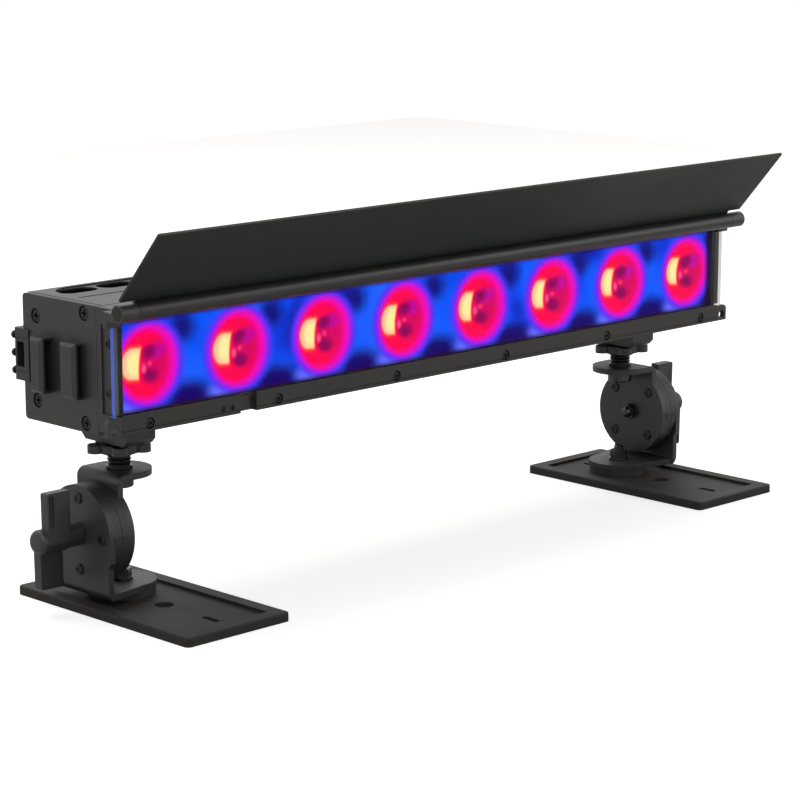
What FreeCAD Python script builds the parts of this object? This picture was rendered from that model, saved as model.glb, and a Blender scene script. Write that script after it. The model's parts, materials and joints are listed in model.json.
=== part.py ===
import FreeCAD, Part
import Sketcher
import math
import os

# An eight-cell LED wall washer on two adjustable floor feet, with a hinged glare flap.
# +X runs along the washer, -Y is the lit front and +Z is up.
# The origin is on the floor, midway between the feet and at the middle of the foot plates.

DIMENSIONS = {
    # Head: extruded housing, closed by two end plates, with the optics in front of it.
    "head_length": 500, "head_height": 70, "body_depth": 64, "front_depth": 18.4,
    "end_plate_thickness": 4, "end_plate_corner": 2.5, "wall": 3,
    "slot_lip": 2.5, "slot_opening": 10.4, "slot_width": 18, "slot_depth": 6,
    "vent_field_margin": 13, "vent_field_width": 29, "vent_field_depth": 0.8,
    "groove_front": 45.6, "groove_width": 1.8, "groove_depth": 0.9, "groove_margin": 11,
    "duct_width": 18, "duct_height": 7.5, "duct_skin": 2,
    "boss_radius": 3.6, "boss_thread_radius": 1.7, "boss_thread_depth": 16,
    "front_boss_inset": 10.4, "front_boss_edge": 5.1,
    "back_boss_inset": 11.4, "back_boss_edge": 11.6,
    "vent_count": 17, "vent_length": 25.4, "vent_width": 14, "vent_first": 28,
    # Countersunk screws of the end plates.
    "plate_screw_head_radius": 4, "plate_screw_head_height": 2.2,
    "plate_screw_recess_radius": 4.2, "plate_screw_recess_depth": 2.7,
    "plate_screw_shank_radius": 1.6, "plate_screw_length": 16,
    # Link ribs on the left end, their sockets in the right end, bracket on the back.
    "front_rib_back": 30.3, "front_rib_width": 13.3, "front_rib_reach": 6.5,
    "back_rib_back": 56.5, "back_rib_width": 10.7, "back_rib_reach": 8.5,
    "rib_low": 18, "rib_height": 30.5, "rib_bevel": 1.8,
    "link_fit": 0.4, "socket_wall": 1.6,
    "rib_hollow_edge": 1.4,
    "link_width": 16, "link_depth": 7.6, "link_low": 21, "link_height": 29,
    "link_flange": 0.9, "link_flange_front": 77,
    "link_groove": 1.2, "link_groove_inset": 4.6, "link_window_depth": 5,
    "link_window_width": 6.4, "link_window_inset": 7.5, "link_fixing_across": 3.6,
    "link_screw_radius": 2, "link_screw_proud": 1.8, "link_dome_radius": 3,
    "link_dome_proud": 2.6,
    # Front: frame bars, glass, seal, reflector tray and light sources.
    "window_low": 13, "window_high": 62.6, "bar_low": 2.3, "bar_lip": 0.4, "bar_seat": 1.4,
    "bar_back_gap": 0.2, "bar_groove_low": 4, "bar_groove_size": 0.7,
    "bar_end": 1.8, "bar_split": 84.7, "bar_split_gap": 11.8, "bar_inner_front": 3,
    "bar_screw_first": 20.7, "bar_screw_pitch": 92.2, "bar_screw_high": 6.4,
    "bar_screw_head_radius": 2.7, "bar_screw_head_height": 1.9,
    "bar_screw_recess_radius": 3.1, "bar_screw_recess_depth": 2.2,
    "bar_screw_shank_radius": 1.5, "bar_screw_length": 22,
    "cover_screw_first": 72.2, "cover_screw_pitch": 6.5, "cover_screw_radius": 1.6,
    "glass_thickness": 2.8, "layer_gap": 0.1, "glass_overhang": 2.6,
    "seal_thickness": 0.5, "seal_width": 3,
    "cell_count": 8, "cup_radius": 23, "cup_throat": 5.2, "tray_depth": 11,
    "board_thickness": 1.8, "board_margin": 2.4,
    "emitter_radius": 3.4, "emitter_height": 1.6,
    # End brackets of the front frame, with their lugs, ears and the flap's knuckles.
    "bracket_thickness_x": 1.6, "bracket_recess": 1, "bracket_rim": 3.8,
    "lug_reach": 8, "lug_high": 12.4, "lug_round": 3,
    "lug_hole_radius": 2.75, "lug_hole_out": 3.4, "lug_hole_high": 6,
    "ear_low": 61, "ear_reach": 7.5,
    "side_screw_head_radius": 2.4, "side_screw_head_height": 1.4,
    "side_screw_low": 24, "side_screw_high": 51, "side_screw_back": 9,
    "side_screw_shank_radius": 1.2,
    # Flap: hinge tube with a thin sheet let into the back of it.
    "flap_axis_front": 9.2, "flap_axis_high": 69.8, "flap_tube_radius": 4.85,
    "flap_pin_radius": 2.4, "flap_pin_length": 24, "flap_pin_head_radius": 3.3,
    "flap_pin_head_height": 0.8, "knuckle_out": 7.5, "knuckle_in": 4.2,
    "flap_overhang": 6.5, "flap_height": 56.4, "flap_notch": 5.6,
    "flap_thickness": 1.5, "flap_lean": 41,
    # Inside and on the back.
    "supply_first": 44, "supply_length": 160, "supply_depth": 32, "supply_height": 38,
    "driver_first": 236, "driver_length": 210, "driver_thickness": 1.6,
    "driver_height": 38,
    "panel_length": 116, "panel_height": 30, "panel_low": 20, "panel_thickness": 1.5,
    "display_length": 46, "display_height": 18, "display_depth": 0.5,
    "display_shift": 29, "button_radius": 3.4, "button_flange": 4.6,
    "button_flange_height": 1.2, "button_proud": 1.6, "button_pitch": 13,
    "button_first": 8,
    "inlet_first": 45, "inlet_pitch": 34, "inlet_high": 35, "inlet_flange": 24,
    "inlet_flange_height": 2.4, "power_radius": 9.6, "data_radius": 7.4,
    "inlet_reach": 12.5, "inlet_wall": 1.6, "inlet_bore_depth": 9, "contact_radius": 1.2,
    "contact_ring": 3.2, "contact_height": 6,
    # Feet, from the floor up.
    "foot_inset": 39, "stud_setback": 26,
    "base_width": 73, "base_length": 148, "base_thickness": 5.2, "base_corner": 3,
    "base_edge": 1, "recess_depth": 1.7, "base_rim": 9,
    "base_hole_radius": 5.5, "base_hole_front": 10.6, "base_slot_radius": 2,
    "base_slot_length": 13, "base_slot_front": 50,
    "spacer_radius": 19, "spacer_thickness": 4.3, "soft_edge": 0.5,
    "strap_thickness": 3.6, "bend_radius": 5, "bend_inner": 1.4,
    "lower_leg_radius": 19.5, "upper_leg_radius": 18, "lower_foot_width": 51,
    "lower_step_high": 22, "disc_radius": 27.5, "disc_gap": 3.4, "neck_gap": 1.7,
    "neck_offset": 12, "disc_thickness": 4.9, "turning_gap": 0.3,
    "index_proud": 0.6, "index_width": 0.9, "index_pitch": 2.2,
    "disc_screw_ring": 20.1, "disc_screw_head_radius": 3.2,
    "disc_screw_head_height": 1, "disc_screw_shank_radius": 1.4,
    "disc_screw_length": 7,
    "tilt_bolt_radius": 3, "tilt_washer_radius": 5.2, "tilt_washer_height": 0.8,
    "tilt_nut_width": 9, "tilt_nut_height": 3.2, "tilt_dome_radius": 3.8,
    "tilt_dome_height": 3, "tilt_bolt_hold": 8,
    "knob_boss_radius": 6.3, "knob_boss_length": 10.4, "knob_depth": 15,
    "knob_arm_reach": 27.5, "knob_arm_thickness": 6, "knob_arm_shift": 4,
    "knob_hub_radius": 7, "knob_hub_proud": 4, "knob_ridge": 1.2,
    "left_knob_turn": -1, "right_knob_turn": 1,
    "stud_radius": 6.9, "stud_reach": 8.4, "thread_gap": 0.05,
    "stud_nut_radius": 7.9, "stud_nut_height": 7.4, "stud_collar_radius": 7.4,
    "stud_collar_height": 1.6, "stud_hold": 8,
    "lock_nut_height": 6, "lock_nut_core_radius": 9.8, "lock_nut_web_radius": 13,
    "lock_nut_lobe_ring": 13.6, "lock_nut_lobe_radius": 4.6, "lock_nut_lobe_height": 4.8,
    "lock_nut_lobes": 5,
    "block_width": 20.5, "block_length": 39, "block_height": 13.6, "block_bevel": 3,
    "block_gap": 0.9, "shoe_gap": 0.4, "shoe_length": 36,
    "swivel_bolt_radius": 3, "swivel_head_radius": 5.6, "swivel_head_height": 1.6,
    "swivel_head_gap": 0.2, "swivel_washer_radius": 6.4, "swivel_washer_height": 1.2,
    "swivel_nut_width": 10, "swivel_nut_height": 5, "swivel_bolt_proud": 3.2,
}

document = FreeCAD.newDocument("wall_washer")
sheet = document.addObject("Spreadsheet::Sheet", "Sizes")


class Size:
    """A length that knows its number and the expression that a property follows."""

    def __init__(self, text, value):
        self.text = text
        self.value = value

    def combined(self, other, sign, result):
        return Size("(%s %s %s)" % (self.text, sign, as_size(other).text), result)

    def __add__(self, other):
        return self.combined(other, "+", self.value + as_size(other).value)

    def __sub__(self, other):
        return self.combined(other, "-", self.value - as_size(other).value)

    def __mul__(self, other):
        return self.combined(other, "*", self.value * as_size(other).value)

    def __truediv__(self, other):
        return self.combined(other, "/", self.value / as_size(other).value)

    def __radd__(self, other):
        return as_size(other) + self

    def __rsub__(self, other):
        return as_size(other) - self

    def __rmul__(self, other):
        return as_size(other) * self

    def __neg__(self):
        return Size("(0 - %s)" % self.text, -self.value)


def as_size(value):
    if isinstance(value, Size):
        return value
    return Size("%.6g" % value, float(value))


def smaller(first, second):
    """The two sizes in rising order."""
    first, second = as_size(first), as_size(second)
    return (first, second) if first.value <= second.value else (second, first)


class SheetSizes:
    """Each driving dimension as an attribute with the name of its cell."""


def fill_sheet():
    sizes = SheetSizes()
    for row, (name, number) in enumerate(DIMENSIONS.items(), start=1):
        sheet.set("A%d" % row, name)
        sheet.set("B%d" % row, "%g" % number)
        sheet.setAlias("B%d" % row, name)
        setattr(sizes, name, Size("Sizes.%s" % name, float(number)))
    document.recompute()
    return sizes


d = fill_sheet()


class Place:
    """Where a group of pieces has its own origin, and how it is turned about X."""

    def __init__(self, x, y, z, turn=None):
        self.corner = [as_size(x), as_size(y), as_size(z)]
        self.turn = turn

    def hold(self, piece):
        if self.turn is not None:
            piece.Placement = FreeCAD.Placement(
                FreeCAD.Vector(), FreeCAD.Rotation(FreeCAD.Vector(1, 0, 0), self.turn.value))
            piece.setExpression("Placement.Rotation.Angle", "%s * 1 deg" % self.turn.text)
        for letter, size in zip("xyz", self.corner):
            piece.setExpression("Placement.Base.%s" % letter, size.text)


# Heights of the foot's layers above the floor.
recess_floor = d.base_thickness - d.recess_depth
spacer_top = recess_floor + d.spacer_thickness
lower_leg_top = spacer_top + d.strap_thickness
tilt_height = lower_leg_top + d.disc_gap + d.disc_radius
upper_leg_under = tilt_height + d.disc_radius + d.neck_gap
upper_leg_top = upper_leg_under + d.strap_thickness
nut_under = upper_leg_top + d.stud_reach
block_under = nut_under + d.lock_nut_height + d.block_gap
head_under = block_under + d.block_height

# Distances of the tilt joint's layers from the stud, going outwards.
upper_leg_out = d.neck_offset + d.strap_thickness
upper_disc_out = upper_leg_out + d.disc_thickness
lower_disc_in = upper_disc_out + d.turning_gap
lower_disc_out = lower_disc_in + d.disc_thickness
lower_leg_out = lower_disc_out + d.strap_thickness
boss_in = lower_leg_out + d.turning_gap
knob_in = boss_in + d.knob_boss_length
knob_out = knob_in + d.knob_depth

# Depths and heights inside the head, from its front face and its underside.
depth = d.front_depth + d.body_depth
slot_middle = d.front_depth + d.body_depth / 2
slot_floor = d.slot_depth + d.wall
bar_back = d.front_depth - d.bar_back_gap
glass_front = d.bar_lip + d.layer_gap
glass_back = glass_front + d.glass_thickness
seal_front = glass_back + d.layer_gap
tray_front = seal_front + d.seal_thickness
tray_back = tray_front + d.tray_depth
board_front = d.front_depth - d.board_thickness
seat_low = d.window_low - d.bar_seat
seat_high = d.window_high + d.bar_seat
cell_pitch = d.head_length / d.cell_count
plate_in = d.head_length - d.end_plate_thickness
duct_high = d.head_height - d.duct_skin
duct_low = duct_high - d.duct_height
duct_front = depth - d.wall - d.duct_width
foot_across = d.head_length / 2 - d.foot_inset

head_place = Place(d.head_length / -2, d.stud_setback - d.body_depth / 2 - d.front_depth, head_under)
flap_place = Place(head_place.corner[0], head_place.corner[1] - d.flap_axis_front,
                   head_place.corner[2] + d.flap_axis_high, turn=d.flap_lean)


class Outline:
    """Closed outlines in one sketch, with every point tied to the sheet."""

    def __init__(self, sketch):
        self.sketch = sketch

    def tie(self, kind, *where, size):
        size = as_size(size)
        index = self.sketch.addConstraint(Sketcher.Constraint(kind, *where, size.value))
        self.sketch.setExpression("Constraints[%d]" % index, size.text)

    def tie_point(self, curve, point, across, up):
        self.tie("DistanceX", -1, 1, curve, point, size=across)
        self.tie("DistanceY", -1, 1, curve, point, size=up)

    def polygon(self, *points):
        corners = [FreeCAD.Vector(as_size(x).value, as_size(y).value, 0) for x, y in points]
        first = self.sketch.GeometryCount
        count = len(corners)
        for index, corner in enumerate(corners):
            line = Part.LineSegment(corner, corners[(index + 1) % count])
            self.sketch.addGeometry(line, False)
        for index, (across, up) in enumerate(points):
            following = first + (index + 1) % count
            self.sketch.addConstraint(
                Sketcher.Constraint("Coincident", first + index, 2, following, 1))
            self.tie_point(first + index, 1, across, up)

    def rectangle(self, left, low, right, high):
        self.polygon((left, low), (right, low), (right, high), (left, high))

    def circle(self, across, up, radius):
        middle = FreeCAD.Vector(as_size(across).value, as_size(up).value, 0)
        ring = Part.Circle(middle, FreeCAD.Vector(0, 0, 1), as_size(radius).value)
        index = self.sketch.addGeometry(ring, False)
        self.tie("Radius", index, size=radius)
        self.tie_point(index, 3, across, up)

    def stadium(self, across, up, half_length, radius, upright):
        """A slot with round ends, its length along the sketch's second axis if upright."""
        reach = as_size(half_length) - radius
        ends = []
        for sign in (1, -1):
            middle = (across, up + sign * reach) if upright else (across + sign * reach, up)
            start = (0 if upright else -90) + (0 if sign > 0 else 180)
            ring = Part.Circle(
                FreeCAD.Vector(as_size(middle[0]).value, as_size(middle[1]).value, 0),
                FreeCAD.Vector(0, 0, 1), as_size(radius).value)
            arc = Part.ArcOfCircle(ring, math.radians(start), math.radians(start + 180))
            ends.append((self.sketch.addGeometry(arc, False), arc, middle))
        joints = []
        for (here, arc, _), (there, other, _) in (ends, ends[::-1]):
            line = self.sketch.addGeometry(Part.LineSegment(arc.EndPoint, other.StartPoint), False)
            joints.append((here, line, there))
        for here, line, there in joints:
            self.sketch.addConstraint(Sketcher.Constraint("Tangent", here, 2, line, 1))
            self.sketch.addConstraint(Sketcher.Constraint("Tangent", line, 2, there, 1))
        for index, _, middle in ends:
            self.tie_point(index, 3, *middle)
        self.tie("Radius", ends[0][0], size=radius)
        self.sketch.addConstraint(Sketcher.Constraint("Equal", ends[0][0], ends[1][0]))


class Piece:
    """One sub-part: a body whose pads and pockets follow the sheet, in its place's frame."""

    PLANES = {"x": "YZ_Plane", "y": "XZ_Plane", "z": "XY_Plane"}

    def __init__(self, label, place):
        self.body = document.addObject("PartDesign::Body", label)
        self.body.Label = label
        self.body.AllowCompound = True
        self.place = place
        place.hold(self.body)
        nodes[label] = self.body

    def sketch(self, axis, level, draw):
        sketch = self.body.newObject("Sketcher::SketchObject", self.body.Name + "_sketch")
        plane = next(feature for feature in self.body.Origin.OriginFeatures
                     if feature.Role == self.PLANES[axis])
        sketch.AttachmentSupport = [(plane, "")]
        sketch.MapMode = "FlatFace"
        # The XZ plane's normal points along -Y.
        offset = -as_size(level) if axis == "y" else as_size(level)
        sketch.AttachmentOffset = FreeCAD.Placement(
            FreeCAD.Vector(0, 0, offset.value), FreeCAD.Rotation())
        sketch.setExpression("AttachmentOffset.Base.z", offset.text)
        draw(Outline(sketch))
        return sketch

    def feature(self, kind, sketch, length):
        feature = self.body.newObject("PartDesign::" + kind, self.body.Name + "_" + kind.lower())
        feature.Profile = sketch
        feature.Length = length.value
        feature.setExpression("Length", length.text)
        sketch.Visibility = False
        return feature

    def add(self, axis, start, end, draw):
        """Pad the outlines between two levels along an axis of the piece's frame."""
        low, high = smaller(start, end)
        foot = high if axis == "y" else low
        self.feature("Pad", self.sketch(axis, foot, draw), high - low)
        return self

    def cut(self, axis, start, end, draw):
        """Pocket the outlines between two levels along an axis of the piece's frame."""
        low, high = smaller(start, end)
        mouth = low if axis == "y" else high
        self.feature("Pocket", self.sketch(axis, mouth, draw), high - low)
        return self

    def edges(self, test):
        document.recompute()
        return ["Edge%d" % number
                for number, edge in enumerate(self.body.Tip.Shape.Edges, start=1) if test(edge)]

    def dress(self, kind, prop, size, test):
        names = self.edges(test)
        if not names:
            raise ValueError("no edges to dress on " + self.body.Label)
        base = self.body.Tip
        feature = self.body.newObject("PartDesign::" + kind, self.body.Name + "_" + kind.lower())
        feature.Base = (base, names)
        setattr(feature, prop, as_size(size).value)
        feature.setExpression(prop, as_size(size).text)
        base.Visibility = False
        return self

    def fillet(self, size, test):
        return self.dress("Fillet", "Radius", size, test)

    def chamfer(self, size, test):
        return self.dress("Chamfer", "Size", size, test)


def flat_at(tolerance=0.01, **levels):
    """A test for edges that lie wholly at the given x, y or z of the piece's frame."""
    wanted = [(axis.upper(), as_size(level).value) for axis, level in levels.items()]

    def test(edge):
        box = edge.BoundBox
        return all(abs(getattr(box, axis + "Min") - level) < tolerance
                   and abs(getattr(box, axis + "Max") - level) < tolerance
                   for axis, level in wanted)
    return test


def round_at(radius, **levels):
    """A test for circular edges of one radius at the given level."""
    flat = flat_at(**levels)
    wanted = as_size(radius).value

    def test(edge):
        curve = getattr(edge, "Curve", None)
        return isinstance(curve, Part.Circle) and abs(curve.Radius - wanted) < 0.01 and flat(edge)
    return test


nodes = {}


def circles(points, radius):
    """A drawing of equal circles."""
    def draw(outline):
        for across, up in points:
            outline.circle(across, up, radius)
    return draw


def box(left, low, right, high):
    """A drawing of one rectangle."""
    return lambda outline: outline.rectangle(left, low, right, high)


def polygon(*points):
    """A drawing of one polygon."""
    return lambda outline: outline.polygon(*points)


def screws(piece, axis, outside, inside, points, head_radius, shank_radius, head_height):
    """Screws along an axis: head from the outside level inwards, shank, cross recess."""
    outside, inside = as_size(outside), as_size(inside)
    inward = 1 if inside.value > outside.value else -1
    under_head = outside + inward * head_height
    piece.add(axis, outside, under_head, circles(points, head_radius))
    piece.add(axis, under_head, inside, circles(points, shank_radius))
    piece.fillet(head_height * 0.5, round_at(head_radius, **{axis: outside}))
    long, thin = head_radius * 0.55, head_radius * 0.14

    def cross(outline):
        for across, up in points:
            outline.polygon(
                (across - long, up - thin), (across - thin, up - thin),
                (across - thin, up - long), (across + thin, up - long),
                (across + thin, up - thin), (across + long, up - thin),
                (across + long, up + thin), (across + thin, up + thin),
                (across + thin, up + long), (across - thin, up + long),
                (across - thin, up + thin), (across - long, up + thin))
    piece.cut(axis, outside, outside + inward * head_height * 0.6, cross)


# ---------------------------------------------------------------- head: housing and ends

def boss_points():
    """Middles of the four screw bosses, as depth and height."""
    front = d.front_depth + d.front_boss_inset
    back = depth - d.back_boss_inset
    return ((front, d.front_boss_edge), (front, d.head_height - d.front_boss_edge),
            (back, d.back_boss_edge), (back, d.head_height - d.back_boss_edge))


def housing_profile(outline):
    """Outer skin with the T-slot below, then the cavity and the air duct."""
    slot = d.slot_opening / 2
    groove = d.slot_width / 2
    top = d.head_height
    outline.polygon(
        (d.front_depth, 0), (slot_middle - slot, 0), (slot_middle - slot, d.slot_lip),
        (slot_middle - groove, d.slot_lip), (slot_middle - groove, d.slot_depth),
        (slot_middle + groove, d.slot_depth), (slot_middle + groove, d.slot_lip),
        (slot_middle + slot, d.slot_lip), (slot_middle + slot, 0),
        (depth, 0), (depth, top), (d.front_depth, top))
    near, far = d.front_depth + d.wall, depth - d.wall
    roof = top - d.wall
    side = groove + d.wall
    outline.polygon(
        (near, d.wall), (slot_middle - side, d.wall), (slot_middle - side, slot_floor),
        (slot_middle + side, slot_floor), (slot_middle + side, d.wall), (far, d.wall),
        (far, duct_low - d.duct_skin), (duct_front - d.duct_skin, duct_low - d.duct_skin),
        (duct_front - d.duct_skin, roof), (near, roof))
    outline.rectangle(duct_front, duct_low, far, duct_high)


def vent_field(outline):
    """The shallow round-ended field that the vents stand in."""
    outline.stadium(d.head_length / 2, depth - d.wall - d.vent_field_width / 2,
                    d.head_length / 2 - d.vent_field_margin, d.vent_field_width / 2,
                    upright=False)


def vent_slots(outline):
    """One row of wide slots over the duct."""
    pitch = (d.head_length - d.vent_first * 2) / (d.vent_count - 1)
    for index in range(int(d.vent_count.value)):
        outline.stadium(d.vent_first + index * pitch, duct_front + d.duct_width / 2,
                        d.vent_length / 2, d.vent_width / 2, upright=False)


def make_housing():
    piece = Piece("housing", head_place)
    left = d.end_plate_thickness
    piece.add("x", left, plate_in, housing_profile)
    piece.add("x", left, plate_in, circles(boss_points(), d.boss_radius))
    low_back = boss_points()[2]
    piece.add("x", left, plate_in, box(low_back[0] - d.duct_skin / 2, d.wall / 2,
                                       low_back[0] + d.duct_skin / 2, low_back[1]))
    thread = circles(boss_points(), d.boss_thread_radius)
    piece.cut("x", left, left + d.boss_thread_depth, thread)
    piece.cut("x", plate_in - d.boss_thread_depth, plate_in, thread)
    piece.cut("z", d.head_height - d.vent_field_depth, d.head_height, vent_field)
    piece.cut("z", duct_high, d.head_height, vent_slots)
    piece.cut("z", d.head_height - d.groove_depth, d.head_height,
              box(d.groove_margin, d.groove_front, d.head_length - d.groove_margin,
                  d.groove_front + d.groove_width))
    front_wall = (d.front_depth, d.front_depth + d.wall)
    piece.cut("y", *front_wall, circles(bar_screw_points(), d.bar_screw_shank_radius + d.thread_gap))
    back_wall = (depth - d.wall, depth)
    piece.cut("y", *back_wall, circles(button_points(), d.button_radius + d.turning_gap))
    piece.cut("y", *back_wall, circles(inlet_points(), d.data_radius - d.inlet_wall))


def bar_screw_points():
    return [(d.bar_screw_first + index * d.bar_screw_pitch, d.bar_screw_high)
            for index in range(6)]


def button_points():
    middle = d.panel_low + d.panel_height / 2
    first = d.head_length / 2 - d.button_first
    return [(first - index * d.button_pitch, middle) for index in range(4)]


def inlet_points():
    """Power inlet and outlet, then data inlet and outlet."""
    left, right = d.inlet_first, d.head_length - d.inlet_first
    return [(left, d.inlet_high), (left + d.inlet_pitch, d.inlet_high),
            (right, d.inlet_high), (right - d.inlet_pitch, d.inlet_high)]


# Front and back link rib: front edge, width and reach.
RIBS = ((d.front_rib_back, d.front_rib_width, d.front_rib_reach),
        (d.back_rib_back, d.back_rib_width, d.back_rib_reach))


def rib_boxes(gap):
    """Each link rib as a rectangle widened by a gap, and its reach."""
    low, high = d.rib_low - gap, d.rib_low + d.rib_height + gap
    return [(box(back - gap, low, back + width + gap, high), reach)
            for back, width, reach in RIBS]


def make_end_plate(label, outside, inside):
    """Plate between two levels along X, with countersunk screw holes and round back corners."""
    piece = Piece(label, head_place)
    inward = 1 if as_size(outside).value < as_size(inside).value else -1
    piece.add("x", outside, inside, box(d.front_depth, 0, depth, d.head_height))
    for height in (0, d.head_height):
        piece.fillet(d.end_plate_corner, flat_at(y=depth, z=height))
    piece.cut("x", outside, inside, circles(boss_points(), d.plate_screw_shank_radius + d.thread_gap))
    piece.cut("x", outside, outside + inward * d.plate_screw_recess_depth,
              circles(boss_points(), d.plate_screw_recess_radius))
    return piece


def make_end_plates():
    left = make_end_plate("end_plate_left", as_size(0), d.end_plate_thickness)
    for rib, reach in rib_boxes(as_size(0)):
        left.add("x", -reach, 0, rib)
        left.chamfer(d.rib_bevel, flat_at(x=-reach))
    edge = d.rib_hollow_edge
    for back, width, reach in RIBS:
        left.cut("y", back, back + width - edge * 2,
                 box(d.rib_bevel + edge - reach, d.rib_low + edge,
                     0, d.rib_low + d.rib_height - edge))
    right = make_end_plate("end_plate_right", d.head_length, plate_in)
    for (socket, reach), (shell, _) in zip(rib_boxes(d.link_fit),
                                           rib_boxes(d.link_fit + d.socket_wall)):
        bottom = d.head_length - reach - d.link_fit
        right.add("x", bottom - d.socket_wall, plate_in + d.socket_wall, shell)
        right.cut("x", bottom, d.head_length, socket)


def make_end_plate_screws():
    piece = Piece("end_plate_screws", head_place)
    sunk = d.plate_screw_recess_depth - d.plate_screw_head_height
    for outside, inward in ((sunk, 1), (d.head_length - sunk, -1)):
        screws(piece, "x", outside, outside + inward * d.plate_screw_length, boss_points(),
               d.plate_screw_head_radius, d.plate_screw_shank_radius, d.plate_screw_head_height)


def make_link_bracket():
    """Angle at the left back edge: a thick leg on the back and a flange over the end plate."""
    piece = Piece("link_bracket", head_place)
    side = -d.link_flange
    high = d.link_low + d.link_height
    back = depth + d.link_depth
    piece.add("x", 0, d.link_width, box(depth, d.link_low, back, high))
    piece.add("x", side, 0, box(d.link_flange_front, d.link_low, back, high))
    piece.chamfer(d.link_flange, flat_at(x=side, y=back))
    for height in (d.link_low + d.link_groove_inset, high - d.link_groove_inset - d.link_groove):
        piece.cut("x", side, side + d.link_flange / 2,
                  box(d.link_flange_front, height, back, height + d.link_groove))
    middle = depth + d.link_depth / 4
    piece.cut("x", side, d.link_window_depth,
              box(middle - d.link_window_width / 2, d.link_low + d.link_window_inset,
                  middle + d.link_window_width / 2, high - d.link_window_inset))
    dome = (d.link_fixing_across, d.link_low + d.link_height / 2)
    piece.add("y", back, back + d.link_dome_proud, circles([dome], d.link_dome_radius))
    piece.fillet(d.link_dome_proud * 0.7, round_at(d.link_dome_radius, y=back + d.link_dome_proud))
    piece.cut("y", depth, back, circles(link_screw_points(), d.link_screw_radius / 2 + d.thread_gap))


def link_screw_points():
    return [(d.link_fixing_across, d.link_low + d.link_groove_inset),
            (d.link_fixing_across, d.link_low + d.link_height - d.link_groove_inset)]


def make_link_bracket_screws():
    piece = Piece("link_bracket_screws", head_place)
    back = depth + d.link_depth
    screws(piece, "y", back + d.link_screw_proud, depth, link_screw_points(),
           d.link_screw_radius, d.link_screw_radius / 2, d.link_screw_proud)


# ---------------------------------------------------------------- head: front frame

def bar_profile(outline):
    """The lower bar: lip in front of the glass, seat behind it, fine groove along the face."""
    groove_top = d.bar_groove_low + d.bar_groove_size
    outline.polygon(
        (0, d.bar_low), (bar_back, d.bar_low), (bar_back, seat_low), (d.bar_lip, seat_low),
        (d.bar_lip, d.window_low), (0, d.window_low), (0, groove_top),
        (d.bar_groove_size, groove_top), (d.bar_groove_size, d.bar_groove_low),
        (0, d.bar_groove_low))


def make_bars():
    top = Piece("top_frame_bar", head_place)
    right_end = d.head_length - d.bar_end
    high = d.head_height - d.layer_gap
    top.add("x", d.bar_end, right_end, polygon(
        (0, d.window_high), (d.bar_lip, d.window_high), (d.bar_lip, seat_high),
        (bar_back, seat_high), (bar_back, high), (0, high)))
    split_end = d.bar_split + d.bar_split_gap
    left = Piece("bottom_frame_bar_left", head_place)
    left.add("x", d.bar_end, d.bar_split, bar_profile)
    right = Piece("bottom_frame_bar_right", head_place)
    right.add("x", split_end, right_end, bar_profile)
    right.add("x", d.bar_split + d.turning_gap, split_end,
              box(d.bar_inner_front, d.bar_low + d.bar_lip, bar_back, seat_low))
    covers = [(d.cover_screw_first + index * d.cover_screw_pitch, d.bar_screw_high)
              for index in range(2)]
    left.cut("y", 0, d.bar_screw_recess_depth / 2, circles(covers, d.cover_screw_radius))
    points = bar_screw_points()
    for bar, own in ((left, points[:1]), (right, points[1:])):
        bar.cut("y", 0, bar_back, circles(own, d.bar_screw_shank_radius + d.thread_gap))
        bar.cut("y", 0, d.bar_screw_recess_depth, circles(own, d.bar_screw_recess_radius))


def make_bottom_bar_screws():
    piece = Piece("bottom_bar_screws", head_place)
    front = d.bar_screw_recess_depth - d.bar_screw_head_height
    screws(piece, "y", front, front + d.bar_screw_length, bar_screw_points(),
           d.bar_screw_head_radius, d.bar_screw_shank_radius, d.bar_screw_head_height)


def side_screw_points():
    return [(d.side_screw_back, d.side_screw_low), (d.side_screw_back, d.side_screw_high)]


def make_front_bracket(label, side, end):
    """One end of the front frame; `side` is the way out along X and `end` the head's end."""
    def out(size):
        return end + side * size

    piece = Piece(label, head_place)
    inside = -d.bracket_thickness_x
    top = d.head_height - d.layer_gap
    plate_front = glass_back + d.layer_gap
    piece.add("x", out(inside), out(as_size(0)), box(plate_front, d.bar_low, bar_back, top))
    piece.cut("x", out(-d.bracket_recess), out(as_size(0)),
              box(plate_front, d.lug_high, bar_back - d.bracket_rim, d.ear_low))
    piece.add("y", 0, plate_front, box(out(inside), d.bar_low, out(d.lug_reach), d.lug_high))
    piece.fillet(d.lug_round, flat_at(x=out(d.lug_reach), z=d.lug_high))
    piece.cut("y", 0, plate_front,
              circles([(out(d.lug_hole_out), d.lug_hole_high)], d.lug_hole_radius))
    piece.add("y", 0, plate_front, box(out(inside), d.ear_low, out(d.ear_reach), top))
    knuckle = [(-d.flap_axis_front, d.flap_axis_high)]
    piece.add("x", out(-d.knuckle_in), out(d.knuckle_out), circles(knuckle, d.flap_tube_radius))
    piece.add("x", out(inside), out(d.knuckle_out),
              box(-d.flap_axis_front, d.flap_axis_high - d.flap_tube_radius, 0, d.flap_axis_high))
    piece.cut("x", out(-d.knuckle_in), out(d.knuckle_out),
              circles(knuckle, d.flap_pin_radius + d.thread_gap))
    piece.cut("x", out(d.knuckle_out - d.flap_pin_head_height), out(d.knuckle_out),
              circles(knuckle, d.flap_pin_head_radius + d.turning_gap))
    piece.cut("x", out(inside), out(-d.bracket_recess),
              circles(side_screw_points(), d.side_screw_shank_radius + d.thread_gap))


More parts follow.
